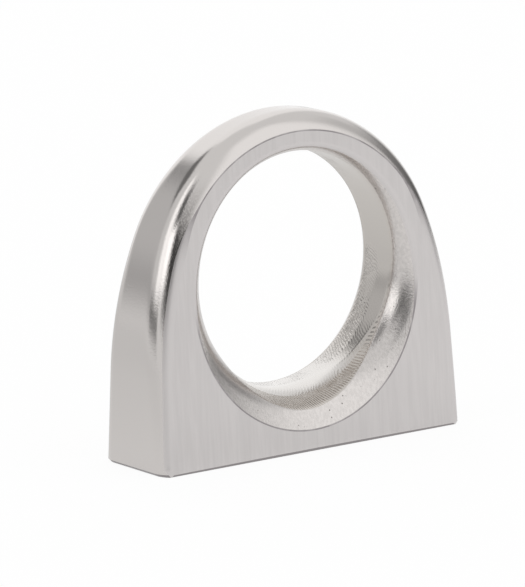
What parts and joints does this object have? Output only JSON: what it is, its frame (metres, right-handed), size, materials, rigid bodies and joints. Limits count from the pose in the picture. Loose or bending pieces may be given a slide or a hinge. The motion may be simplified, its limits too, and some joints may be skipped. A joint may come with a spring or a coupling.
{
  "type": "ring pull handle",
  "caption": "Cast arch-shaped pull for a cabinet door or drawer, wedge-shaped in section, with a rounded rim, a flat base for screws from behind and a flared round finger hole.",
  "frame": {"origin": "middle of the flat base, which sits on the door or drawer front", "axes": "+X along the base, +Y through the finger hole towards the back face, +Z out of the base towards the crown of the arch"},
  "size_m": [0.045, 0.0126, 0.041],
  "materials": {
    "satin_nickel": "brushed satin nickel plate on a casting, ground faces with upright brush lines"
  },
  "bodies": {
    "root": {"ring_pull": "satin_nickel"}
  },
  "joints": []
}
